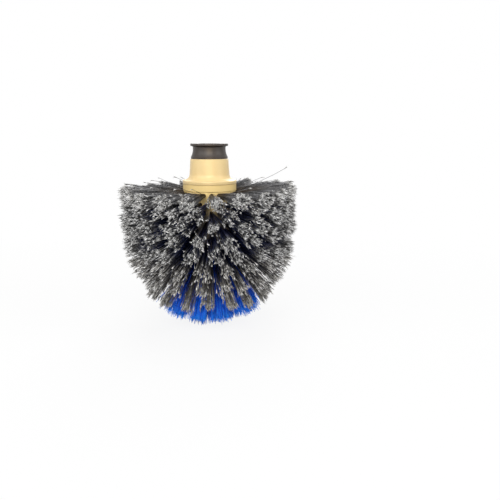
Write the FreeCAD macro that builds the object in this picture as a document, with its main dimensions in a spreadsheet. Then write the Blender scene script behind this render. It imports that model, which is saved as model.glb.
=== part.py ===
import FreeCAD, Part
import os
import re
import Sketcher

# Cobweb brush head for a screw-on pole, in millimetres.
# The Z axis is the axis of the pole and points up, out of the socket.
# The origin is the centre of the lip's top face, where the shoulder of the pole comes to rest.

# Sizes of the thread bush
BUSH_SIZES = [
    ("bore_radius", 9.8, "radius over the crests of the pole thread"),
    ("thread_depth", 1.2, "depth of the pole thread"),
    ("thread_pitch", 4.5, "rise of the pole thread in one turn"),
    ("thread_crest", 1.9, "width of the crest of the pole thread"),
    ("thread_root", 1.4, "width of the bottom of the thread groove"),
    ("thread_setback", 3.2, "from each end of the bush to the end of the groove, at mid groove"),
    ("lead_in", 1.0, "chamfer at the mouth of the bore"),
    ("stem_wall", 3.6, "wall of the stem inside the neck, behind the thread"),
    ("stem_setback", 4.55, "from the end of the stem down to the foot of the cap"),
    ("rib_height", 1.2, "how far the ribs that stop the bush turning stand out"),
    ("rib_width", 3.0, "width of these ribs"),
    ("rib_setback", 6.8, "from the end of these ribs down to the end of the stem"),
    ("lip_edge", 1.0, "height of the straight edge of the lip"),
    ("lip_round", 0.7, "rounding of the edges of the lip"),
    ("lip_underside", 0.3, "width of the flat underside of the lip"),
    ("under_lip_round", 1.5, "hollow rounding between lip and waist"),
    ("waist_height", 1.1, "height of the straight waist"),
    ("skirt_flare", 2.1, "how far the skirt flares out from the waist"),
    ("skirt_flare_height", 8.0, "height over which the skirt flares"),
    ("skirt_edge", 1.65, "height of the straight foot of the skirt"),
]

# Sizes of the socket cap
CAP_SIZES = [
    ("neck_wall", 2.8, "wall of the neck outside the ribs of the bush, at its rim"),
    ("neck_taper", 0.9, "how much the neck widens down to its foot"),
    ("neck_height", 14.65, "height of the neck"),
    ("rim_chamfer", 0.6, "chamfer of the rim of the neck"),
    ("shoulder_overhang", 0.3, "how far the shoulder stands out over the band of the core"),
    ("shoulder_edge_round", 1.0, "rounding of the edge of the shoulder"),
    ("shoulder_edge", 2.25, "height of the straight edge of the shoulder"),
    ("register_wall", 4.5, "wall of the ring that centres the cap on the core"),
    ("register_depth", 5.0, "depth of this ring"),
]

# Sizes of the tuft core
CORE_SIZES = [
    ("band_height", 7.4, "height of the band under the seam"),
    ("band_overhang", 0.8, "how far the band stands out from the core"),
    ("seam_depth", 0.8, "depth of the shadow groove under the shoulder"),
    ("seam_height", 0.4, "height of this groove"),
    ("core_radius", 25.5, "radius of the core on its straight side and at its dome"),
    ("hole_depth", 6.0, "depth of the tuft holes"),
    ("hole_radius", 1.9, "radius of the tuft holes"),
    ("first_row_drop", 2.8, "from the band down to the first row of holes"),
    ("row_pitch", 8.55, "between rows of holes on the straight side"),
]

# Sizes of the tufts and of their anchors
TUFT_SIZES = [
    ("grey_length", 62.5, "how far the grey bristles stand out of the core"),
    ("blue_length", 68.0, "how far the blue bristles stand out of the core"),
    ("fold_height", 1.4, "bristle below the anchor, round the fold"),
    ("anchor_width", 2.0, "width of the anchor strip, along the tuft"),
    ("anchor_thickness", 0.6, "thickness of the anchor strip"),
    ("anchor_bite", 0.6, "how far each end of the anchor bites into the core"),
    ("tip_gap", 1.6, "least room between the ends of neighbouring tufts"),
]

# Clearances between pieces, and the overrun that every cut shares
FIT_SIZES = [
    ("stem_clearance", 0.1, "between the stem of the bush and the neck"),
    ("register_clearance", 0.15, "between the ring of the cap and the core"),
    ("tuft_clearance", 0.15, "between a tuft and the wall of its hole"),
    ("root_clearance", 0.2, "between a tuft and the bottom of its hole"),
    ("cut_overrun", 1.0, "how far a cut runs past the piece"),
]

# Rows of tufts from the top down: number of tufts, angle below level in degrees,
# turn of the first tuft as a share of the spacing, colour of the bristle.
# The first five rows stand on the straight side of the core, the others on its dome.
SIDE_ROWS = 5
ROW_TURN_SHARES = [
    (22, 0.5, 0.70, "grey"),
    (22, 3.0, 0.20, "grey"),
    (22, 6.5, 0.70, "grey"),
    (22, 10.0, 0.20, "grey"),
    (22, 14.5, 0.70, "grey"),
    (22, 21.5, 0.20, "grey"),
    (20, 35.5, 0.44, "grey"),
    (16, 48.5, 0.93, "grey"),
    (12, 62.0, 0.42, "blue"),
    (6, 76.0, 0.97, "blue"),
    (1, 90.0, 0.25, "blue"),
]
RIB_COUNT = 4

doc = FreeCAD.newDocument("cobweb_brush")
sheet = doc.addObject("Spreadsheet::Sheet", "sizes")
aliases = set()


def put_in_sheet(alias, number, words):
    """Write one named number, with its description, into the next line of the sheet."""
    line = len(aliases) + 1
    sheet.set("A%d" % line, words)
    sheet.set("B%d" % line, str(number))
    sheet.setAlias("B%d" % line, alias)
    aliases.add(alias)


for group in (BUSH_SIZES, CAP_SIZES, CORE_SIZES, TUFT_SIZES, FIT_SIZES):
    for alias, number, words in group:
        put_in_sheet(alias, number, words)
for row, (count, tilt, turn_share, colour) in enumerate(ROW_TURN_SHARES, 1):
    put_in_sheet("count_row_%d" % row, count, "tufts in row %d" % row)
    put_in_sheet("tilt_row_%d" % row, tilt, "angle of row %d below level" % row)
    put_in_sheet("turn_row_%d" % row, turn_share, "turn of row %d, share of its spacing" % row)
put_in_sheet("rib_count", RIB_COUNT, "ribs on the stem of the bush")
doc.recompute()

# Radii that follow from the sheet, from the bore outwards
STEM_RADIUS = "(bore_radius + thread_depth + stem_wall)"
SOCKET_RADIUS = "(%s + stem_clearance)" % STEM_RADIUS
NECK_RADIUS = "(%s + rib_height + neck_wall)" % SOCKET_RADIUS
NECK_FOOT_RADIUS = "(%s + neck_taper)" % NECK_RADIUS
SKIRT_RADIUS = "(%s - rim_chamfer)" % NECK_RADIUS
WAIST_RADIUS = "(%s - skirt_flare)" % SKIRT_RADIUS
LIP_RADIUS = "(%s + under_lip_round + lip_underside + lip_round)" % WAIST_RADIUS
REGISTER_RADIUS = "(%s + register_wall)" % SOCKET_RADIUS
REGISTER_HOLE_RADIUS = "(%s + register_clearance)" % REGISTER_RADIUS
BAND_RADIUS = "(core_radius + band_overhang)"
SHOULDER_RADIUS = "(%s + shoulder_overhang)" % BAND_RADIUS
SHOULDER_ROUND = "(%s - shoulder_edge_round - %s)" % (SHOULDER_RADIUS, NECK_FOOT_RADIUS)

# Heights that follow from the sheet, from the lip down
LIP_FOOT = "-(lip_edge + lip_round * 2)"
WAIST_HEAD = "(%s - under_lip_round)" % LIP_FOOT
WAIST_FOOT = "(%s - waist_height)" % WAIST_HEAD
NECK_RIM = "(%s - skirt_flare_height - skirt_edge)" % WAIST_FOOT
NECK_FOOT = "(%s - neck_height)" % NECK_RIM
SEAM = "(%s - %s - shoulder_edge_round - shoulder_edge)" % (NECK_FOOT, SHOULDER_ROUND)
CAP_FOOT = "(%s - register_depth)" % SEAM
REGISTER_FLOOR = "(%s - register_clearance)" % CAP_FOOT
STEM_END = "(%s + stem_setback)" % CAP_FOOT
RIB_LENGTH = "(%s - %s - rib_setback)" % (NECK_RIM, STEM_END)
BAND_FOOT = "(%s - band_height)" % SEAM
DOME_CENTRE = "(%s - first_row_drop - row_pitch * %d)" % (BAND_FOOT, SIDE_ROWS - 1)

# Sizes along and across a tuft
TUFT_RADIUS = "(hole_radius - tuft_clearance)"
TUFT_ROOT = "-(hole_depth - root_clearance)"
ANCHOR_FOOT = "(%s + fold_height)" % TUFT_ROOT
ANCHOR_HEAD = "(%s + anchor_width)" % ANCHOR_FOOT
ANCHOR_LENGTH = "((hole_radius + anchor_bite) * 2)"


def bound(text):
    """Turn a formula in alias names into an expression on the sheet's cells."""
    return re.sub(r"[a-z_]+[a-z0-9_]*", lambda m: "sizes." + m[0] if m[0] in aliases else m[0], text)


def number_of(text):
    """Value of a formula in alias names."""
    return float(sheet.evalExpression(bound(text)))


def origin_feature(body, role):
    """One of a body's own origin planes or axes."""
    return next(f for f in body.Origin.OriginFeatures if f.Role == role)


def new_body(label):
    """An empty body; its label names the piece."""
    body = doc.addObject("PartDesign::Body", label)
    body.Label = label
    body.AllowCompound = True
    return body


def draw_outline(sketch, corners, arcs):
    """Draw a closed outline in a sketch and tie it to the sheet.

    corners: formulas of the x and y of each corner. arcs: for the edges that are round, by the
    number of the corner where they start, the radius formula and the centre's formulas.
    """
    points = [FreeCAD.Vector(number_of(x), number_of(y), 0) for x, y in corners]
    total = len(points)
    ends = []
    for start in range(total):
        first = points[start]
        last = points[(start + 1) % total]
        leftward = True
        if start in arcs:
            radius, centre_x, centre_y = arcs[start]
            centre = FreeCAD.Vector(number_of(centre_x), number_of(centre_y), 0)
            leftward = (first - centre).cross(last - centre).z > 0
            circle = Part.Circle(centre, FreeCAD.Vector(0, 0, 1), number_of(radius))
            sweep = (first, last) if leftward else (last, first)
            sketch.addGeometry(Part.ArcOfCircle(circle, circle.parameter(sweep[0]), circle.parameter(sweep[1])))
        else:
            sketch.addGeometry(Part.LineSegment(first, last))
        ends.append((1, 2) if leftward else (2, 1))
    for start in range(total):
        after = (start + 1) % total
        sketch.addConstraint(Sketcher.Constraint("Coincident", start, ends[start][1], after, ends[after][0]))
    for start, (x, y) in enumerate(corners):
        for kind, text in (("DistanceX", x), ("DistanceY", y)):
            size = Sketcher.Constraint(kind, -1, 1, start, ends[start][0], number_of(text))
            index = sketch.addConstraint(size)
            sketch.setExpression("Constraints[%d]" % index, bound(text))
    for start, (radius, centre_x, centre_y) in arcs.items():
        index = sketch.addConstraint(Sketcher.Constraint("Radius", start, number_of(radius)))
        sketch.setExpression("Constraints[%d]" % index, bound(radius))


def draw_on_plane(body, name, role, height, corners, arcs):
    """Sketch on one of a body's origin planes, or at a height above it."""
    sketch = body.newObject("Sketcher::SketchObject", name)
    sketch.AttachmentSupport = [(origin_feature(body, role), "")]
    sketch.MapMode = "FlatFace"
    lifted = FreeCAD.Vector(0, 0, number_of(height))
    sketch.AttachmentOffset = FreeCAD.Placement(lifted, FreeCAD.Rotation())
    sketch.setExpression("AttachmentOffset.Base.z", bound(height))
    draw_outline(sketch, corners, arcs)
    return sketch


def turned_piece(body, name, corners, arcs):
    """A piece turned about Z: its half outline, drawn in the XZ plane, goes once round."""
    turned = body.newObject("PartDesign::Revolution", name + "_turned")
    turned.Profile = draw_on_plane(body, name + "_outline", "XZ_Plane", "0", corners, arcs)
    turned.ReferenceAxis = (origin_feature(body, "Z_Axis"), [""])
    turned.Angle = 360
    doc.recompute()


def repeat_round(body, name, features, count):
    """Repeat features evenly round Z, where there is more than one."""
    if number_of(count) < 2:
        return
    pattern = body.newObject("PartDesign::PolarPattern", name + "_round")
    pattern.Originals = features
    pattern.Axis = (origin_feature(body, "Z_Axis"), [""])
    pattern.Angle = 360
    pattern.setExpression("Occurrences", bound(count))
    body.Tip = pattern
    doc.recompute()


def row_sketch(body, row, name, corners, arcs):
    """Sketch whose x axis is the axis of a row's first tuft, with x = 0 where it leaves the core.

    It lies on an upright plane through Z, turned round to the first tuft of the row.
    """
    plane = body.newObject("PartDesign::Plane", name + "_plane")
    plane.AttachmentSupport = [(origin_feature(body, "XZ_Plane"), "")]
    plane.MapMode = "FlatFace"
    turn = "turn_row_%d * 360 / count_row_%d" % (row, row)
    round_z = FreeCAD.Rotation(FreeCAD.Vector(0, 1, 0), number_of(turn))
    plane.AttachmentOffset = FreeCAD.Placement(FreeCAD.Vector(), round_z)
    plane.setExpression("AttachmentOffset.Rotation.Angle", bound(turn) + " * 1 deg")
    tilt = "tilt_row_%d" % row
    if row <= SIDE_ROWS:
        out = "core_radius"
        height = "%s - first_row_drop - row_pitch * %d" % (BAND_FOOT, row - 1)
    else:
        out = "core_radius * cos(%s * 1 deg)" % tilt
        height = "%s - core_radius * sin(%s * 1 deg)" % (DOME_CENTRE, tilt)
    sketch = body.newObject("Sketcher::SketchObject", name + "_outline")
    sketch.AttachmentSupport = [(plane, "")]
    sketch.MapMode = "FlatFace"
    foot = FreeCAD.Vector(number_of(out), number_of(height), 0)
    downward = FreeCAD.Rotation(FreeCAD.Vector(0, 0, -1), number_of(tilt))
    sketch.AttachmentOffset = FreeCAD.Placement(foot, downward)
    sketch.setExpression("AttachmentOffset.Base.x", bound(out))
    sketch.setExpression("AttachmentOffset.Base.y", bound(height))
    sketch.setExpression("AttachmentOffset.Rotation.Angle", bound(tilt) + " * 1 deg")
    draw_outline(sketch, corners, arcs)
    return sketch


def row_of_turned(label, row, corners, arcs):
    """One row of equal round solids, each turned about the axis of its tuft."""
    body = new_body(label)
    turned = body.newObject("PartDesign::Revolution", label + "_turned")
    turned.Profile = row_sketch(body, row, label, corners, arcs)
    turned.ReferenceAxis = (turned.Profile[0], ["H_Axis"])
    turned.Angle = 360
    doc.recompute()
    repeat_round(body, label, [turned], "count_row_%d" % row)
    return body


def row_of_strips(label, row, corners, length):
    """One row of equal strips, each lying across its tuft."""
    body = new_body(label)
    strip = body.newObject("PartDesign::Pad", label + "_strip")
    strip.Profile = row_sketch(body, row, label, corners, {})
    strip.SideType = "Symmetric"
    strip.setExpression("Length", bound(length))
    doc.recompute()
    repeat_round(body, label, [strip], "count_row_%d" % row)
    return body


def cut_from(label, base, tools):
    """A piece less the space of other solids, which do not touch one another."""
    group = doc.addObject("Part::Compound", label + "_tools")
    group.Links = tools
    piece = doc.addObject("Part::Cut", label)
    piece.Label = label
    piece.Base = base
    piece.Tool = group
    doc.recompute()
    return piece


# Thread bush: black moulding, with a lip to seat the pole and a flared skirt on the neck's rim
bush = new_body("thread_bush")
SKIRT_ARC = "((skirt_flare ^ 2 + skirt_flare_height ^ 2) / (skirt_flare * 2))"
LIP_ROUND_CENTRE = "%s - lip_round" % LIP_RADIUS
bush_corners = [
    ("bore_radius + lead_in", "0"),
    (LIP_ROUND_CENTRE, "0"),
    (LIP_RADIUS, "-lip_round"),
    (LIP_RADIUS, "-(lip_round + lip_edge)"),
    (LIP_ROUND_CENTRE, LIP_FOOT),
    ("%s + under_lip_round" % WAIST_RADIUS, LIP_FOOT),
    (WAIST_RADIUS, WAIST_HEAD),
    (WAIST_RADIUS, WAIST_FOOT),
    (SKIRT_RADIUS, "%s - skirt_flare_height" % WAIST_FOOT),
    (SKIRT_RADIUS, NECK_RIM),
    (STEM_RADIUS, NECK_RIM),
    (STEM_RADIUS, STEM_END),
    ("bore_radius", STEM_END),
    ("bore_radius", "-lead_in"),
]
bush_arcs = {
    1: ("lip_round", LIP_ROUND_CENTRE, "-lip_round"),
    3: ("lip_round", LIP_ROUND_CENTRE, "-(lip_round + lip_edge)"),
    5: ("under_lip_round", "%s + under_lip_round" % WAIST_RADIUS, WAIST_HEAD),
    7: (SKIRT_ARC, "%s + %s" % (WAIST_RADIUS, SKIRT_ARC), WAIST_FOOT),
}
turned_piece(bush, "bush", bush_corners, bush_arcs)

# Ribs on the stem of the bush, which key it in the neck
rib_corners = [
    ("%s - rib_height" % STEM_RADIUS, "-rib_width / 2"),
    ("%s + rib_height" % STEM_RADIUS, "-rib_width / 2"),
    ("%s + rib_height" % STEM_RADIUS, "rib_width / 2"),
    ("%s - rib_height" % STEM_RADIUS, "rib_width / 2"),
]
rib = bush.newObject("PartDesign::Pad", "rib")
rib.Profile = draw_on_plane(bush, "rib_section", "XY_Plane", NECK_RIM, rib_corners, {})
rib.Reversed = True
rib.setExpression("Length", bound(RIB_LENGTH))
doc.recompute()
repeat_round(bush, "rib", [rib], "rib_count")

# Pole thread, which starts and ends inside the bush; its section runs a little into the open bore
THREAD_START = "(%s + thread_setback)" % STEM_END
THREAD_SLOPE = "((thread_pitch - thread_crest - thread_root) / 2)"
THREAD_INNER_HALF = "((thread_pitch - thread_crest) / 2 + %s / 4)" % THREAD_SLOPE
thread_corners = [
    ("bore_radius - thread_depth / 4", "%s - %s" % (THREAD_START, THREAD_INNER_HALF)),
    ("bore_radius + thread_depth", "%s - thread_root / 2" % THREAD_START),
    ("bore_radius + thread_depth", "%s + thread_root / 2" % THREAD_START),
    ("bore_radius - thread_depth / 4", "%s + %s" % (THREAD_START, THREAD_INNER_HALF)),
]
thread = bush.newObject("PartDesign::SubtractiveHelix", "pole_thread")
thread.Profile = draw_on_plane(bush, "thread_section", "XZ_Plane", "0", thread_corners, {})
thread.ReferenceAxis = (origin_feature(bush, "Z_Axis"), [""])
thread.Mode = "pitch-height-angle"
thread.setExpression("Pitch", bound("thread_pitch"))
thread.setExpression("Height", bound("-%s - thread_setback * 2" % STEM_END))
bush.Tip = thread
doc.recompute()

# Socket cap: tan moulding with the neck and the shoulder, centred on the core by a ring
cap = new_body("socket_cap")
SHOULDER_ROUND_CENTRE = "%s + %s" % (NECK_FOOT_RADIUS, SHOULDER_ROUND)
cap_corners = [
    (SOCKET_RADIUS, NECK_RIM),
    (SKIRT_RADIUS, NECK_RIM),
    (NECK_RADIUS, "%s - rim_chamfer" % NECK_RIM),
    (NECK_FOOT_RADIUS, NECK_FOOT),
    (SHOULDER_ROUND_CENTRE, "%s - %s" % (NECK_FOOT, SHOULDER_ROUND)),
    (SHOULDER_RADIUS, "%s + shoulder_edge" % SEAM),
    (SHOULDER_RADIUS, SEAM),
    (REGISTER_RADIUS, SEAM),
    (REGISTER_RADIUS, CAP_FOOT),
    (SOCKET_RADIUS, CAP_FOOT),
]
cap_arcs = {
    3: (SHOULDER_ROUND, SHOULDER_ROUND_CENTRE, NECK_FOOT),
    4: ("shoulder_edge_round", SHOULDER_ROUND_CENTRE, "%s + shoulder_edge" % SEAM),
}
turned_piece(cap, "cap", cap_corners, cap_arcs)

# Keyways in the neck for the ribs of the bush
KEYWAY_HALF = "(rib_width / 2 + stem_clearance)"
keyway_corners = [
    ("%s - rib_height" % SOCKET_RADIUS, "-" + KEYWAY_HALF),
    ("%s + rib_height" % SOCKET_RADIUS, "-" + KEYWAY_HALF),
    ("%s + rib_height" % SOCKET_RADIUS, KEYWAY_HALF),
    ("%s - rib_height" % SOCKET_RADIUS, KEYWAY_HALF),
]
keyway = cap.newObject("PartDesign::Pocket", "keyway")
keyway.Profile = draw_on_plane(cap, "keyway_section", "XY_Plane", NECK_RIM, keyway_corners, {})
keyway.setExpression("Length", bound("%s + stem_clearance" % RIB_LENGTH))
doc.recompute()
repeat_round(cap, "keyway", [keyway], "rib_count")

# Tufts and anchors, row by row: each tuft is folded over its anchor and flares to a trimmed end
anchor_corners = [
    (ANCHOR_FOOT, "-anchor_thickness / 2"),
    (ANCHOR_HEAD, "-anchor_thickness / 2"),
    (ANCHOR_HEAD, "anchor_thickness / 2"),
    (ANCHOR_FOOT, "anchor_thickness / 2"),
]
hole_corners = [
    ("-hole_depth", "0"),
    ("-hole_depth", "hole_radius"),
    ("cut_overrun", "hole_radius"),
    ("cut_overrun", "0"),
]
all_tufts = []
all_anchors = []
all_holes = []
for row, (count, tilt, turn_share, colour) in enumerate(ROW_TURN_SHARES, 1):
    place = "s_row_%d" % row if count > 1 else "_centre"
    anchors = row_of_strips("anchor" + place, row, anchor_corners, ANCHOR_LENGTH)
    all_anchors.append(anchors)
    all_holes.append(row_of_turned("hole" + place, row, hole_corners, {}))
    length = colour + "_length"
    trim_radius = "(core_radius + %s)" % length
    if row <= SIDE_ROWS:
        lean = "(sin(tilt_row_3 * 1 deg) - sin(tilt_row_1 * 1 deg))"
        above = "(row_pitch + %s * %s / 2)" % (length, lean)
        beside = "(%s * sin(180 deg / count_row_%d))" % (trim_radius, row)
        room = "min(%s; sqrt(%s ^ 2 + %s ^ 2) / 2)" % (above, above, beside)
    else:
        room = "%s * sin((tilt_row_8 - tilt_row_7) / 2 * 1 deg)" % trim_radius
    tip_radius = "(%s - tip_gap / 2)" % room
    tip_edge = "%s - %s + sqrt(%s ^ 2 - %s ^ 2)" % (length, trim_radius, trim_radius, tip_radius)
    tuft_corners = [
        (TUFT_ROOT, "0"),
        (TUFT_ROOT, TUFT_RADIUS),
        ("0", TUFT_RADIUS),
        (tip_edge, tip_radius),
        (length, "0"),
    ]
    tuft_arcs = {3: (trim_radius, "%s - %s" % (length, trim_radius), "0")}
    name = "%s_tuft%s" % (colour, place)
    tufts = row_of_turned(name + "_whole", row, tuft_corners, tuft_arcs)
    all_tufts.append(cut_from(name, tufts, [anchors]))
    print("row %d: tuft end radius %.2f mm" % (row, number_of(tip_radius)))

# Tuft core: tan block, a bullet under a short band, with a blind hole for each tuft
# and a slot in two walls of the hole for the ends of the anchor
core_body = new_body("core_body")
core_corners = [
    (REGISTER_HOLE_RADIUS, SEAM),
    ("%s - seam_depth" % BAND_RADIUS, SEAM),
    ("%s - seam_depth" % BAND_RADIUS, "%s - seam_height" % SEAM),
    (BAND_RADIUS, "%s - seam_height" % SEAM),
    (BAND_RADIUS, "%s + band_overhang" % BAND_FOOT),
    ("core_radius", BAND_FOOT),
    ("core_radius", DOME_CENTRE),
    ("0", "%s - core_radius" % DOME_CENTRE),
    ("0", REGISTER_FLOOR),
    (REGISTER_HOLE_RADIUS, REGISTER_FLOOR),
]
core_arcs = {6: ("core_radius", "0", DOME_CENTRE)}
turned_piece(core_body, "core", core_corners, core_arcs)
drilled_core = cut_from("drilled_core", core_body, all_holes)
core = cut_from("tuft_core", drilled_core, all_anchors)
print("tuft holes: %.1f cubic mm" % (core_body.Shape.Volume - drilled_core.Shape.Volume))
print("anchor slots: %.1f cubic mm" % (drilled_core.Shape.Volume - core.Shape.Volume))
pieces = [bush, cap, core] + all_tufts + all_anchors

# Test every object and shape before anything is written
doc.recompute()
for item in doc.Objects:
    if "Invalid" in item.State or "Error" in item.State:
        raise RuntimeError("%s failed: %s" % (item.Label, item.State))
for piece in pieces:
    if piece.Shape.isNull() or not piece.Shape.isValid():
        raise RuntimeError("%s has no valid shape" % piece.Label)

os.makedirs("parts", exist_ok=True)
for piece in pieces:
    piece.Shape.exportStep("parts/%s.step" % piece.Label)
    print("%s: %d solids, %.1f cubic mm" % (piece.Label, len(piece.Shape.Solids), piece.Shape.Volume))
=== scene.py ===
import math
import bpy
import numpy as np
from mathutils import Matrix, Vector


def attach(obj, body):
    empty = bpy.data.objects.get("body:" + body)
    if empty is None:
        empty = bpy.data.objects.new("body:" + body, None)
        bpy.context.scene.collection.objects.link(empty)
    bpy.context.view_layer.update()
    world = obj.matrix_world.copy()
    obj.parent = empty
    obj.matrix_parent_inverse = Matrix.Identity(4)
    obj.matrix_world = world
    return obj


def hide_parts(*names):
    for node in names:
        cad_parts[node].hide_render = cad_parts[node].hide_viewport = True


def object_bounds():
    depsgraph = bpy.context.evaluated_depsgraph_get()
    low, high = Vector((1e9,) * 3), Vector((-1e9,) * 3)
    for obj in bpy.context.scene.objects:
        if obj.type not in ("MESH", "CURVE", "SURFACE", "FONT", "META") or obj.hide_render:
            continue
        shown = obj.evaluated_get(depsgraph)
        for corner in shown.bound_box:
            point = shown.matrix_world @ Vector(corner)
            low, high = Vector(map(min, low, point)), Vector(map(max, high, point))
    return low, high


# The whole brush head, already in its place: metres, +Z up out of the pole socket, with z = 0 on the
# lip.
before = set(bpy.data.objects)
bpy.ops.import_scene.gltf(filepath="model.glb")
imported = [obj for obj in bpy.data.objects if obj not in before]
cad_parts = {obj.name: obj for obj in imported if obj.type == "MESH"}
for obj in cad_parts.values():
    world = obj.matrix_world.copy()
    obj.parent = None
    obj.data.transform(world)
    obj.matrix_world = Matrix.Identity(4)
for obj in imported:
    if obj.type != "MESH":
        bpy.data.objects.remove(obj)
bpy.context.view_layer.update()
bpy.ops.object.select_all(action="DESELECT")


# Tuft core: the tan moulding that holds the tufts. Its band shows under the seam, and its drilled block
# shows as slivers between the tufts. Moulded in foamed plastic, satin, and darkened with painted shade
# among the roots, where the tufts hide it.
class Shade:
    """A socket of a node tree. Arithmetic on it adds Math nodes."""

    def __init__(self, tree, socket=None):
        self.tree = tree
        self.socket = socket

    def node(self, kind, settings, inputs, output=0):
        """Add any node: its settings first, then the values or links of its sockets."""
        made = self.tree.nodes.new(kind)
        for name, setting in settings.items():
            if name == "stops":
                ramp = made.color_ramp
                while len(ramp.elements) < len(setting):
                    ramp.elements.new(1.0)
                for element, (place, colour) in zip(ramp.elements, setting):
                    element.position = place
                    element.color = (*colour, 1.0)
            else:
                setattr(made, name, setting)
        for name, value in inputs.items():
            if isinstance(value, Shade):
                self.tree.links.new(value.socket, made.inputs[name])
            else:
                made.inputs[name].default_value = value
        if made.outputs:
            return Shade(self.tree, made.outputs[output])

    def math(self, operation, first, second=0.0):
        """A Math node. What works on one value alone leaves the second at zero."""
        return self.node("ShaderNodeMath", {"operation": operation}, {0: first, 1: second})

    def __add__(self, other):
        return self.math("ADD", self, other)

    def __radd__(self, other):
        return self.math("ADD", other, self)

    def __sub__(self, other):
        return self.math("SUBTRACT", self, other)

    def __rsub__(self, other):
        return self.math("SUBTRACT", other, self)

    def __mul__(self, other):
        return self.math("MULTIPLY", self, other)

    def __rmul__(self, other):
        return self.math("MULTIPLY", other, self)

    def clamp(self):
        """This value, held between 0 and 1."""
        return self.node("ShaderNodeClamp", {}, {"Value": self})

    def plain(self, colour):
        """One colour all over, for others to blend into."""
        paint = self.node("ShaderNodeRGB", {}, {})
        paint.socket.default_value = colour
        return paint

    def blend(self, mask, other):
        """This colour, going over to another one where the mask is 1."""
        sockets = {"Factor": mask, 6: self, 7: other}
        return self.node("ShaderNodeMix", {"data_type": "RGBA"}, sockets, 2)

    def place(self):
        """Where a point of the piece is, in metres in the brush's frame."""
        return self.node("ShaderNodeTexCoord", {}, {}, "Object")

    def height(self):
        """How high a point of the piece is. It is below zero under the lip."""
        return self.node("ShaderNodeSeparateXYZ", {}, {"Vector": self.place()}, "Z")

    def noise(self, scale, detail):
        """Noise of about 0 to 1, with this scale per metre."""
        sockets = {"Vector": self.place(), "Scale": scale, "Detail": detail}
        return self.node("ShaderNodeTexNoise", {}, sockets, "Fac")


def new_finish(name):
    """An empty node material, and a start for its expressions."""
    finish = bpy.data.materials.new(name)
    finish.use_nodes = True
    finish.node_tree.nodes.clear()
    return finish, Shade(finish.node_tree)


def end_finish(start, sockets):
    """Principled shader with these values and links, on the material's output."""
    surface = start.node("ShaderNodeBsdfPrincipled", {}, sockets)
    start.node("ShaderNodeOutputMaterial", {}, {"Surface": surface})


def moulded_grain(start, scale, strength):
    """Normal of the fine grain that a mould leaves on plastic."""
    grain_depth = 0.0002
    sockets = {"Strength": strength, "Distance": grain_depth, "Height": start.noise(scale, 2.0)}
    return start.node("ShaderNodeBump", {}, sockets)


def tan_moulding(name, darker, lighter, polish):
    """Satin tan plastic: its colour drifts a little, with painted shade in the seam, under the band and
    among the roots.
    """
    seam_height = -0.03875
    band_foot = -0.046
    unshaded_depth = 0.014
    root_height = band_foot - unshaded_depth
    # How fast the painted shade in each place sets in, per metre of height.
    seam_fade = 1400.0
    foot_fade = 400.0
    root_fade = 110.0
    blotch_tan = (0.72, 0.52, 0.22, 1.0)
    seam_painted_shade = (0.42, 0.25, 0.08, 1.0)
    under_band_painted_shade = (0.34, 0.2, 0.08, 1.0)
    root_painted_shade = (0.03, 0.021, 0.015, 1.0)
    finish, start = new_finish(name)
    drift = start.noise(45.0, 3.0)
    blotch = start.noise(320.0, 4.0)
    height = start.height()
    colour = start.plain(darker).blend((drift * 0.55).clamp(), lighter)
    colour = colour.blend((blotch - 0.52) * 0.5, blotch_tan)
    # Painted shade: a dark brown line in the seam under the shoulder's lip.
    shade_in_seam = (1.0 - start.math("ABSOLUTE", (height - seam_height) * seam_fade)).clamp()
    colour = colour.blend(shade_in_seam * 0.45, seam_painted_shade)
    # Painted shade under the overhang of the band.
    shade_under_band = ((band_foot - height) * foot_fade).clamp()
    colour = colour.blend(shade_under_band * 0.1, under_band_painted_shade)
    # Painted shade among the roots, where the tufts keep the light off the core.
    shade_at_roots = ((root_height - height) * root_fade).clamp()
    colour = colour.blend(shade_at_roots * 0.95, root_painted_shade)
    end_finish(start, {
        "Base Color": colour,
        "Roughness": 0.42 + (blotch - 0.5) * 0.2,
        "IOR": 1.49,
        "Coat Weight": polish,
        "Coat Roughness": 0.4,
        "Normal": moulded_grain(start, 2600.0, 0.06),
    })
    return finish


def dress_node(node, finish):
    """Give a CAD node its finish in all its material slots."""
    piece = bpy.data.objects[node]
    for place in piece.material_slots:
        place.material = finish


# The core's tan is paler than the cap's: painted light, to offset the shade of the shoulder on the
# band.
core_darker = (0.88, 0.65, 0.267, 1.0)
core_lighter = (0.925, 0.7, 0.31, 1.0)
dress_node("tuft_core", tan_moulding("tan_core", core_darker, core_lighter, polish=0.0))


# Anchors: short strips of flat drawn wire, one across the fold of each tuft.
# They are driven into the core and stay hidden at the bottom of the tuft holes.
def drawn_wire():
    """Bare steel, with the dull marks that drawing leaves."""
    bright_steel = (0.55, 0.55, 0.56, 1.0)
    dull_steel = (0.38, 0.37, 0.36, 1.0)
    finish, start = new_finish("drawn_wire")
    marks = start.noise(1500.0, 3.0)
    end_finish(start, {
        "Base Color": start.plain(bright_steel).blend(marks * 0.5, dull_steel),
        "Metallic": 1.0,
        "Roughness": 0.3 + marks * 0.2,
    })
    return finish


anchor_rows = 10
wire = drawn_wire()
for row in range(1, anchor_rows + 1):
    dress_node("anchors_row_%d" % row, wire)
dress_node("anchor_centre", wire)


# Grey tufts, rows 1 to 8: bundles of grey filament, folded over an anchor and driven into the core,
# then trimmed. Each filament is split into a few curled fibres at its end, so the outside of the brush
# is pale and fluffy, and the shafts and roots are darkened with painted shade.
CORE_RADIUS = 0.0255
SIDE_ROWS = 5
FIRST_ROW = -0.04875
ROW_PITCH = 0.00855
DOME_CENTRE = FIRST_ROW - ROW_PITCH * (SIDE_ROWS - 1)
TUFT_RADIUS = 0.0017
ROOT_DEPTH = 0.003
GREY_LENGTH = 0.0625
LOWEST_GREY_LENGTH = 0.066
TONES = 32
FIRST_SEED = 40


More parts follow.
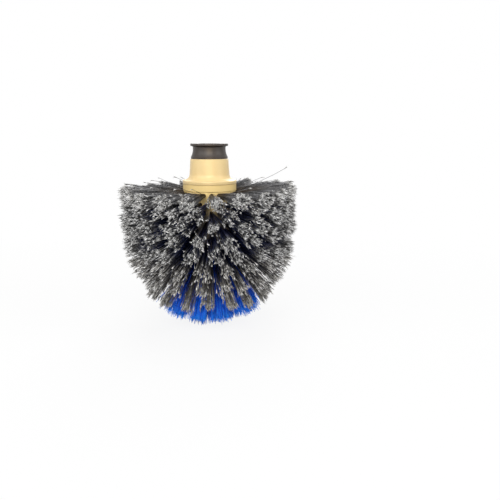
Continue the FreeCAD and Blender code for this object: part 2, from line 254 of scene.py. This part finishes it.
def draw_strand(start, radius, steps, tip_share):
    """A closed three-sided strand that follows some steps from its start.

    Its end keeps this share of the width, and zero draws it to a point.
    """
    bpy.ops.object.select_all(action="DESELECT")
    bpy.ops.mesh.primitive_circle_add(vertices=3, radius=radius, fill_type="NGON", location=start)
    strand = bpy.context.object
    bpy.ops.object.mode_set(mode="EDIT")
    bpy.ops.mesh.select_all(action="SELECT")
    for step in steps:
        bpy.ops.mesh.extrude_region_move(TRANSFORM_OT_translate={"value": step})
    if tip_share:
        bpy.ops.transform.resize(value=(tip_share, tip_share, 1.0))
    else:
        bpy.ops.mesh.merge(type="CENTER")
    bpy.ops.mesh.select_all(action="SELECT")
    bpy.ops.mesh.normals_make_consistent(inside=False)
    bpy.ops.object.mode_set(mode="OBJECT")
    return strand


def draw_shaft(radius, length, ring_shares, tip_share):
    """The shaft of a filament, upright on the origin, with a ring at these shares of its length."""
    steps = [(0.0, 0.0, rise * length) for rise in np.diff(ring_shares)]
    return draw_strand((0.0, 0.0, 0.0), radius, steps, tip_share)


def read_filament(piece, length, shaft_corners, fibre_corners=1):
    """A modelled filament as numbers. The piece is removed, because only its copies are shown.

    along: share of the length at each corner.
    strand: for each face, 0 on the shaft and then the number of its fibre.
    """
    mesh = piece.data
    mesh.calc_loop_triangles()
    corners = np.empty(len(mesh.vertices) * 3)
    mesh.vertices.foreach_get("co", corners)
    corners = corners.reshape(-1, 3)
    faces = np.array([tuple(face.vertices) for face in mesh.loop_triangles])
    bpy.data.objects.remove(piece)
    bpy.data.meshes.remove(mesh)
    return {
        "corners": corners,
        "faces": faces,
        "along": np.clip(corners[:, 2] / length, 0, 1),
        "strand": np.maximum(0, (faces[:, 0] - shaft_corners) // fibre_corners + 1),
    }


def model_split_filament(seed, most_bow):
    """One grey filament: a shaft, and an end split into a hooked brush of fibres."""
    shaft_radius = 0.00021
    fibre_radius = 0.00022
    fibre_count = 4
    fibre_ring = 0.0001
    split_share = 0.9
    ring_shares = (0.0, 0.42, 0.71, split_share)
    early_bow_share = 0.3
    late_fan_share = 1.5
    chance = np.random.default_rng(seed)
    shaft = draw_shaft(shaft_radius, GREY_LENGTH, ring_shares, tip_share=1.0)
    shaft_corners = len(shaft.data.vertices)
    split_height = split_share * GREY_LENGTH
    room = GREY_LENGTH - split_height
    bow = chance.uniform(0.2, 1.0) * most_bow
    fibres = []
    for index in range(fibre_count):
        turn = math.tau * (index + chance.uniform(-0.4, 0.4)) / fibre_count
        fan = chance.uniform(0.03, 0.16)
        rise = room * chance.uniform(0.4, 0.55)
        hook = bow + chance.uniform(0.0, 1.3) * most_bow
        out = math.cos(turn) * fan * rise
        across = math.sin(turn) * fan * rise
        first = (out + bow * early_bow_share * rise, across, rise)
        second = (out + hook * rise, across * late_fan_share, rise * chance.uniform(0.4, 0.85))
        foot = (math.cos(turn) * fibre_ring, math.sin(turn) * fibre_ring, split_height)
        fibres.append(draw_strand(foot, fibre_radius, (first, second), tip_share=0.0))
    fibre_corners = len(fibres[0].data.vertices)
    bpy.ops.object.select_all(action="DESELECT")
    for strand in (shaft, *fibres):
        strand.select_set(True)
    bpy.context.view_layer.objects.active = shaft
    bpy.ops.object.join()
    bpy.ops.object.transform_apply(location=True, rotation=True, scale=True)
    return read_filament(shaft, GREY_LENGTH, shaft_corners, fibre_corners)


def tuft_places(row, count, tilt, turn_share):
    """Root, direction, sideways and upward directions of each tuft of a row.

    The first rows stand on the straight side of the core, the others on its dome.
    """
    down = math.radians(tilt)
    places = []
    for index in range(count):
        around = math.tau * (turn_share + index) / count
        level = np.array([math.cos(around), math.sin(around), 0.0])
        outward = level * math.cos(down) - np.array([0.0, 0.0, math.sin(down)])
        side = np.array([-math.sin(around), math.cos(around), 0.0])
        if row <= SIDE_ROWS:
            root = level * CORE_RADIUS + np.array([0.0, 0.0, FIRST_ROW - ROW_PITCH * (row - 1)])
        else:
            root = outward * CORE_RADIUS + np.array([0.0, 0.0, DOME_CENTRE])
        places.append((root, outward, side, np.cross(outward, side)))
    return places


def grow_tuft(place, filament, count, habit, chance):
    """Corner places of the bristles of one tuft: bent copies of the modelled filament."""
    loose_share = 0.07
    stray_looseness = 10
    flare_power = 1.1
    sway_power = 0.8
    second_sway_share = 0.5
    root, outward, side, upward = place
    # Each bristle starts in the round hole and ends partly pulled into a clump.
    inner = np.sqrt(chance.random(count)) * TUFT_RADIUS
    inner_turn = chance.random(count) * math.tau
    inner_side = inner * np.cos(inner_turn)
    inner_up = inner * np.sin(inner_turn)
    member = chance.integers(0, len(habit["clump_turn"]), count)
    pull = chance.uniform(*habit["pull"], count)
    clump_side = (habit["clump_reach"] * np.cos(habit["clump_turn"]))[member]
    clump_up = (habit["clump_reach"] * np.sin(habit["clump_turn"]))[member]
    spread = habit["end_radius"] / TUFT_RADIUS
    stray = chance.random(count) < habit["stray_share"]
    loose = habit["end_radius"] * loose_share
    slack = 1 + stray * stray_looseness
    end_side = (1 - pull) * inner_side * spread + pull * clump_side
    end_side = end_side + chance.normal(0, loose, count) * slack
    end_up = (1 - pull) * inner_up * spread + pull * clump_up
    end_up = end_up + chance.normal(0, loose, count) * slack
    end_up = np.minimum(end_up, habit["crown"] * chance.uniform(0.8, 1.1, count))
    # No two bristles have quite the same length, sway, turn and width.
    own_shift = np.clip(chance.normal(-0.01, 0.025, count), -0.1, 0.03)
    short = (chance.random(count) < habit["short_share"]) * chance.uniform(0.05, 0.22, count)
    reach = habit["length"] * (1 + habit["length_shift"][member] + own_shift - short)
    sway_side = chance.normal(0, habit["bend"], count)
    sway_up = chance.normal(0, habit["bend"], count)
    spin = chance.random(count) * math.tau
    width = chance.uniform(0.8, 1.2, count)
    end_up = end_up + habit["wisps"] * stray * np.maximum(0.0, width - 1.0)
    # The filament's corners go along each bristle's own curve.
    along = filament["along"][None, :]
    out = along * reach[:, None] - ROOT_DEPTH * (1 - along)
    flare = along ** flare_power
    wave = np.sin(math.pi * along ** sway_power) - second_sway_share * np.sin(math.tau * along)
    off_side = inner_side[:, None] * (1 - along) + end_side[:, None] * flare + sway_side[:, None] * wave
    off_up = inner_up[:, None] * (1 - along) + end_up[:, None] * flare + sway_up[:, None] * wave
    cos_spin = (np.cos(spin) * width)[:, None]
    sin_spin = (np.sin(spin) * width)[:, None]
    corner_side = filament["corners"][None, :, 0]
    corner_up = filament["corners"][None, :, 1]
    off_side = off_side + corner_side * cos_spin - corner_up * sin_spin
    off_up = off_up + corner_side * sin_spin + corner_up * cos_spin
    spot = root + out[..., None] * outward + off_side[..., None] * side + off_up[..., None] * upward
    spot[..., 2] -= habit["droop"] * along ** 2 * (1 - abs(outward[2]))
    return spot


def weave_mesh(name, bundles, chance):
    """One mesh of many filaments. Its map gives each strand a tone and its share of the length.

    bundles: corner places of some filaments, and the modelled filament that they copy.
    """
    # Each strand lies in one tone row of the map, some rows on from the strand before it,
    # and the corners of a face are spread over the height of that row.
    strand_tone_step = 11
    map_margin = 0.01
    corner_heights = np.array([0.2, 0.5, 0.8])
    points = []
    faces = []
    spots = []
    used = 0
    for places, filament in bundles:
        total = len(places)
        corner_count = len(filament["corners"])
        triangles = filament["faces"]
        first = used + np.arange(total) * corner_count
        points.append(places.reshape(-1, 3))
        faces.append((triangles[None] + first[:, None, None]).reshape(-1, 3))
        own_tone = chance.integers(0, TONES, total)
        tone = (own_tone[:, None] + filament["strand"][None] * strand_tone_step) % TONES
        along = map_margin + (1 - 2 * map_margin) * filament["along"][triangles]
        u = np.broadcast_to(along[None], (total, len(triangles), 3))
        v = (tone[:, :, None] + corner_heights) / TONES
        spots.append(np.stack([u, v], axis=-1).reshape(-1, 2))
        used += total * corner_count
    points = np.concatenate(points)
    faces = np.concatenate(faces)
    mesh = bpy.data.meshes.new(name)
    mesh.vertices.add(len(points))
    mesh.vertices.foreach_set("co", points.reshape(-1))
    mesh.loops.add(faces.size)
    mesh.loops.foreach_set("vertex_index", faces.reshape(-1))
    mesh.polygons.add(len(faces))
    mesh.polygons.foreach_set("loop_start", np.arange(len(faces)) * 3)
    mesh.update(calc_edges=True)
    layer = mesh.uv_layers.new(name="OFBake")
    layer.data.foreach_set("uv", np.concatenate(spots).reshape(-1))
    mesh.validate()
    piece = bpy.data.objects.new(name, mesh)
    bpy.context.collection.objects.link(piece)
    return piece


def grow_row(name, places, filaments, count, habit, seed):
    """All the bristles of a row of tufts in one mesh. Each tuft leans and parts in its own way.

    habit: how the row grows. Lengths are in metres, lean, rise and ruffle are slopes,
    and the parting is a turn from the front in radians and a slope.
    """
    ruffled_direction = np.array([0.87, 0.5, 0.0])
    parting_width = 0.2
    crown_lift = 0.2
    chance = np.random.default_rng(seed)
    parting_turn, parting_push = habit["parting"]
    bundles = []
    for root, outward, side, upward in places:
        lean_side, lean_up = chance.normal(0, habit["lean"], 2)
        lift = habit["rise"] + habit["ruffle"] * max(0.0, outward @ ruffled_direction) ** 2
        from_parting = math.atan2(outward[0], -outward[1]) - parting_turn
        nearness = math.exp(-(from_parting / parting_width) ** 2)
        apart = parting_push * math.copysign(nearness, from_parting)
        outward = outward + side * (lean_side + apart) + upward * (lean_up + lift)
        outward = outward / np.linalg.norm(outward)
        to_right = max(0.0, outward[0]) ** 2
        own = dict(habit)
        own["crown"] = habit["crown"] + lift * crown_lift
        own["wisps"] = habit["wisps"] * to_right
        own["length"] = habit["length"] * (1.0 - habit["worn"] * to_right)
        own["clump_turn"] = chance.random(habit["clumps"]) * math.tau
        own["clump_reach"] = np.sqrt(chance.random(habit["clumps"])) * habit["end_radius"]
        own["length_shift"] = np.clip(chance.normal(0.0, 0.03, habit["clumps"]), -0.09, 0.025)
        place = (root, outward, side, upward)
        for filament in filaments:
            grown = grow_tuft(place, filament, count // len(filaments), own, chance)
            bundles.append((grown, filament))
    return weave_mesh(name, bundles, chance)


def filament_finish(name, stops, tones, rough):
    """Plastic filament: its colour goes from a root darkened by painted shade to its end, and each
    bristle's brightness is varied at random as painted shade among the bristles.

    tones: least and most painted brightness of a bristle, and a power that makes bright ones rarer.
    """
    low, high, power = tones
    finish, start = new_finish(name)
    place = start.node("ShaderNodeUVMap", {"uv_map": "OFBake"}, {})
    along = start.node("ShaderNodeSeparateXYZ", {}, {"Vector": place}, "X")
    across = start.node("ShaderNodeSeparateXYZ", {}, {"Vector": place}, "Y")
    # Painted shade: each bristle gets its own brightness, in place of the shade the bristles cast on
    # each other.
    tone_row = start.math("FLOOR", across * TONES) + 0.5
    tone = start.node("ShaderNodeTexWhiteNoise", {"noise_dimensions": "1D"}, {"W": tone_row}, "Value")
    colour = start.node("ShaderNodeValToRGB", {"stops": stops}, {"Fac": along})
    light = low + start.math("POWER", tone, power) * (high - low)
    grey = start.node("ShaderNodeCombineXYZ", {}, {"X": light, "Y": light, "Z": light})
    mixing = {"data_type": "RGBA", "blend_type": "MULTIPLY", "clamp_result": True}
    shaded = start.node("ShaderNodeMix", mixing, {"Factor": 1.0, 6: colour, 7: grey}, 2)
    end_finish(start, {
        "Base Color": shaded,
        "Roughness": rough,
        "IOR": 1.46,
        "Specular IOR Level": 0.3,
    })
    return finish


# The stops of each colour go from the root of a bristle to its end. Their dark shafts and roots are
# painted shade.
grey_rough = 0.5
painted_shade_tones = (0.22, 2.4, 2.0)
# The navy dark of the shafts and the dark roots are painted shade, where the tufts shade each other.
grey_stops = [
    (0.0, (0.04, 0.029, 0.019)),
    (0.2, (0.005, 0.009, 0.036)),
    (0.5, (0.009, 0.014, 0.058)),
    (0.75, (0.034, 0.04, 0.082)),
    (0.87, (0.1, 0.099, 0.099)),
    (0.93, (0.27, 0.268, 0.264)),
    (0.97, (0.88, 0.871, 0.854)),
]
grey_filament = filament_finish("grey_filament", grey_stops, painted_shade_tones, grey_rough)
combed_stops = [
    (0.0, (0.05, 0.036, 0.022)),
    (0.2, (0.005, 0.009, 0.036)),
    (0.5, (0.011, 0.016, 0.056)),
    (0.75, (0.072, 0.07, 0.074)),
    (0.88, (0.2, 0.193, 0.184)),
    (0.95, (0.54, 0.525, 0.502)),
    (1.0, (0.78, 0.762, 0.732)),
]
combed_filament = filament_finish("combed_filament", combed_stops, painted_shade_tones, grey_rough)
# Row 1 gets a paler copy of the grey: painted light, as its shafts are lit from above.
lit_top_stops = [
    (0.0, (0.05, 0.036, 0.022)),
    (0.2, (0.036, 0.025, 0.016)),
    (0.4, (0.06, 0.054, 0.05)),
    (0.6, (0.11, 0.11, 0.114)),
    (0.88, (0.18, 0.18, 0.186)),
    (0.93, (0.36, 0.355, 0.345)),
    (0.965, (0.78, 0.772, 0.756)),
]
lit_top_filament = filament_finish("lit_top_filament", lit_top_stops, (0.35, 1.9, 1.6), grey_rough)
taupe_stops = [
    (0.0, (0.02, 0.017, 0.014)),
    (0.5, (0.04, 0.038, 0.037)),
    (0.8, (0.15, 0.145, 0.138)),
    (0.92, (0.34, 0.33, 0.31)),
    (1.0, (0.56, 0.545, 0.515)),
]
taupe_filament = filament_finish("taupe_filament", taupe_stops, (0.4, 1.9, 1.6), grey_rough)
row_finishes = {1: lit_top_filament, 6: combed_filament, 7: combed_filament, 8: taupe_filament}

split_filaments = [model_split_filament(seed, most_bow=0.32) for seed in range(1, 7)]
combed_filaments = [model_split_filament(seed, most_bow=0.28) for seed in range(11, 17)]
straight_filaments = [model_split_filament(seed, most_bow=0.12) for seed in range(7, 10)]
row_filaments = {6: combed_filaments, 7: combed_filaments, 8: straight_filaments}
usual_fill = 60
row_fill = {1: 144, 6: 42, 7: 42}
parting_turn = -0.085

# Row, number of tufts, degrees that they point down, and turn as a share of their spacing.
grey_rows = [
    (1, 22, 0.5, 0.70),
    (2, 22, 3.0, 0.20),
    (3, 22, 6.5, 0.70),
    (4, 22, 10.0, 0.20),
    (5, 22, 14.5, 0.70),
    (6, 22, 21.5, 0.20),
    (7, 20, 35.5, 0.44),
    (8, 16, 48.5, 0.93),
]
for row, count, tilt, turn_share in grey_rows:
    # What a row has for itself is looked up by its number.
    habit = {
        "length": {8: LOWEST_GREY_LENGTH}.get(row, GREY_LENGTH),
        "end_radius": {6: 0.0098, 7: 0.0092, 8: 0.008}.get(row, 0.0094),
        "clumps": {8: 6}.get(row, 14),
        "droop": 0.002,
        "bend": 0.0007,
        "lean": {1: 0.012}.get(row, 0.03),
        "rise": {1: 0.025, 2: 0.016, 3: 0.008}.get(row, 0.0),
        "ruffle": {1: 0.06}.get(row, 0.0),
        "wisps": {1: 0.1}.get(row, 0.0),
        "parting": (parting_turn, {1: 0.07, 2: 0.11}.get(row, 0.0)),
        "worn": 0.035 if row <= SIDE_ROWS else 0.0,
        "crown": {1: 0.0075}.get(row, 0.012),
        "pull": (0.5, 0.95),
        "short_share": 0.15,
        "stray_share": 0.04,
    }
    places = tuft_places(row, count, tilt, turn_share)
    filaments = row_filaments.get(row, split_filaments)
    fill = row_fill.get(row, usual_fill)
    piece = grow_row("grey_bristles_row_%d" % row, places, filaments, fill, habit, FIRST_SEED + row)
    piece.data.materials.append(row_finishes.get(row, grey_filament))
    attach(piece, "root")
    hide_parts("grey_tufts_row_%d" % row)


# Blue tufts, rows 9 and 10 and the one at the centre: thicker, stiffer blue filament
# for scraping, cut square and left unsplit. It stands straighter than the grey
# and makes the cap at the bottom of the brush.
BLUE_LENGTH = 0.068


def model_stiff_filament():
    """One blue filament: a plain shaft, a little narrower at its cut end."""
    shaft_radius = 0.00028
    ring_shares = (0.0, 0.4, 0.7, 0.9, 1.0)
    shaft = draw_shaft(shaft_radius, BLUE_LENGTH, ring_shares, tip_share=0.7)
    return read_filament(shaft, BLUE_LENGTH, len(shaft.data.vertices))


blue_stops = [
    (0.0, (0.004, 0.012, 0.06)),
    (0.45, (0.0065, 0.06, 0.47)),
    (0.8, (0.008, 0.142, 0.94)),
    (1.0, (0.0135, 0.235, 1.0)),
]
blue_filament = filament_finish("blue_filament", blue_stops, (0.7, 1.3, 1.0), 0.38)
stiff_filament = model_stiff_filament()
blue_fill = 150

# The same as for the grey rows, then the names of the piece and of the node that it replaces.
blue_rows = [
    (9, 12, 62.0, 0.42, "blue_bristles_row_9", "blue_tufts_row_9"),
    (10, 6, 76.0, 0.97, "blue_bristles_row_10", "blue_tufts_row_10"),
    (11, 1, 90.0, 0.25, "blue_bristles_centre", "blue_tuft_centre"),
]
for row, count, tilt, turn_share, name, node in blue_rows:
    habit = {
        "length": BLUE_LENGTH,
        "end_radius": 0.0118,
        "clumps": 6,
        "droop": 0.0,
        "bend": 0.0005,
        "lean": 0.02,
        "rise": 0.0,
        "ruffle": 0.0,
        "wisps": 0.0,
        "parting": (0.0, 0.0),
        "worn": 0.0,
        "crown": 0.015,
        "pull": (0.1, 0.5),
        "short_share": 0.1,
        "stray_share": 0.02,
    }
    places = tuft_places(row, count, tilt, turn_share)
    piece = grow_row(name, places, [stiff_filament], blue_fill, habit, FIRST_SEED + row)
    piece.data.materials.append(blue_filament)
    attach(piece, "root")
    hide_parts(node)


# Socket cap: the tan moulding with the neck and the shoulder, centred on the core by a ring and welded
# to it along the seam. Its tan is deeper than the core's, which is painted paler against the shade
# under the shoulder, and it is the glossier of the two.
cap_darker = (0.765, 0.567, 0.258, 1.0)
cap_lighter = (0.84, 0.635, 0.31, 1.0)
dress_node("socket_cap", tan_moulding("tan_cap", cap_darker, cap_lighter, polish=0.45))


# Thread bush: the black moulding pressed into the neck, with the pole thread inside.
# Satin black plastic with a fine moulded grain, a little paler where it is handled.
def black_moulding():
    """Satin black plastic, warm in tone, with fine grain and faint handling marks."""
    warm_black = (0.029, 0.0212, 0.0162, 1.0)
    handled_black = (0.054, 0.041, 0.031, 1.0)
    finish, start = new_finish("black_moulding")
    marks = start.noise(260.0, 5.0)
    end_finish(start, {
        "Base Color": start.plain(warm_black).blend(((marks - 0.45) * 1.2).clamp(), handled_black),
        "Roughness": 0.42 + (marks - 0.5) * 0.15,
        "Specular IOR Level": 0.4,
        "IOR": 1.5,
        "Normal": moulded_grain(start, 2200.0, 0.08),
    })
    return finish


dress_node("thread_bush", black_moulding())


# Floor: a plain white sheet just under the lowest bristles. It is paper white to the eye
# and still takes the shadow of the brush.
def seen_by_eye(start):
    """1 for what the eye sees, straight, in gloss or through something clear, and else 0."""
    eye = start.node("ShaderNodeLightPath", {}, {}, "Is Camera Ray")
    gloss = start.node("ShaderNodeLightPath", {}, {}, "Is Glossy Ray")
    through = start.node("ShaderNodeLightPath", {}, {}, "Is Transmission Ray")
    return (eye + gloss + through).clamp()


def white_sheet():
    """White floor, with the shadow under the brush and none further off."""
    shadow_share = 0.12
    shadow_reach = 0.12
    shadow_fade = 2.0
    finish, start = new_finish("white_sheet")
    paper = start.node("ShaderNodeBsdfDiffuse", {}, {"Color": (0.8, 0.8, 0.8, 1.0)})
    bright = start.node("ShaderNodeEmission", {}, {"Color": (1.0, 1.0, 1.0, 1.0), "Strength": 1.0})
    away = start.node("ShaderNodeVectorMath", {"operation": "LENGTH"}, {0: start.place()}, "Value")
    further_off = ((away - shadow_reach) * shadow_fade).clamp()
    glow = seen_by_eye(start) * (1.0 - shadow_share + further_off * shadow_share)
    both = start.node("ShaderNodeMixShader", {}, {0: glow, 1: paper, 2: bright})
    start.node("ShaderNodeOutputMaterial", {}, {"Surface": both})
    return finish


floor_size = 12.0
floor_gap = 0.0005
bpy.ops.object.select_all(action="DESELECT")
bpy.ops.mesh.primitive_plane_add(size=floor_size, location=(0, 0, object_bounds()[0].z - floor_gap))
floor = bpy.context.object
floor.name = "floor"
floor.data.materials.append(white_sheet())


# Light: an even white surround and five soft panels, the strongest in front and above.
# A warm strip in front shows only as a sheen on the mouldings.
def white_surround():
    """White to the eye, and a dim even light on the brush."""
    light_strength = 0.12
    world = bpy.data.worlds.new("white_surround")
    world.use_nodes = True
    world.node_tree.nodes.clear()
    start = Shade(world.node_tree)
    strength = light_strength + seen_by_eye(start) * (1.0 - light_strength)
    sockets = {"Color": (1.0, 1.0, 1.0, 1.0), "Strength": strength}
    surround = start.node("ShaderNodeBackground", {}, sockets)
    start.node("ShaderNodeOutputWorld", {}, {"Surface": surround})
    return world


def soft_panel(name, place, aim, size, power):
    """A soft light panel of this width and height, turned towards a point."""
    bpy.ops.object.light_add(type="AREA", location=place)
    panel = bpy.context.object
    panel.name = name
    panel.data.shape = "RECTANGLE"
    panel.data.size, panel.data.size_y = size
    panel.data.energy = power
    toward = np.array(aim) - np.array(place)
    tilt = math.atan2(math.hypot(toward[0], toward[1]), -toward[2])
    turn = math.atan2(toward[1], toward[0]) - math.pi / 2
    panel.rotation_euler = (tilt, 0, turn)
    return panel


bpy.context.scene.world = white_surround()
brush_middle = (0, 0, -0.09)
neck_middle = (0, 0, -0.03)
soft_panel("front_panel", (-0.15, -1.15, 0.6), brush_middle, (1.3, 0.6), 14.0)
strip = soft_panel("front_strip", (0.0, -1.4, 0.4), neck_middle, (0.7, 0.8), 8.0)
strip.data.color = (1.0, 0.7, 0.34)
strip.visible_diffuse = False
soft_panel("right_panel", (1.2, -0.6, 0.5), brush_middle, (0.7, 0.7), 6.3)
soft_panel("left_panel", (-1.2, -0.6, 0.5), brush_middle, (0.7, 0.7), 5.1)
soft_panel("top_panel", (0.0, 0.2, 1.3), brush_middle, (0.9, 0.9), 8.0)
soft_panel("back_panel", (0.2, 1.1, 0.6), brush_middle, (0.7, 0.7), 7.0)


# Camera: where the photograph was taken from, a little above the height of the lip.
# It looks a little down and to the right, by a dip and a turn in degrees.
camera_place = (0, -0.6, 0.00855)
camera_dip = 10.84
camera_turn = -3.815
bpy.ops.object.camera_add(location=camera_place)
camera = bpy.context.object
camera.data.sensor_width = 36.0
camera.data.lens = 43.4
camera.rotation_euler = (math.radians(90 - camera_dip), 0, math.radians(camera_turn))
bpy.context.scene.camera = camera
bpy.context.scene.view_settings.view_transform = "Standard"
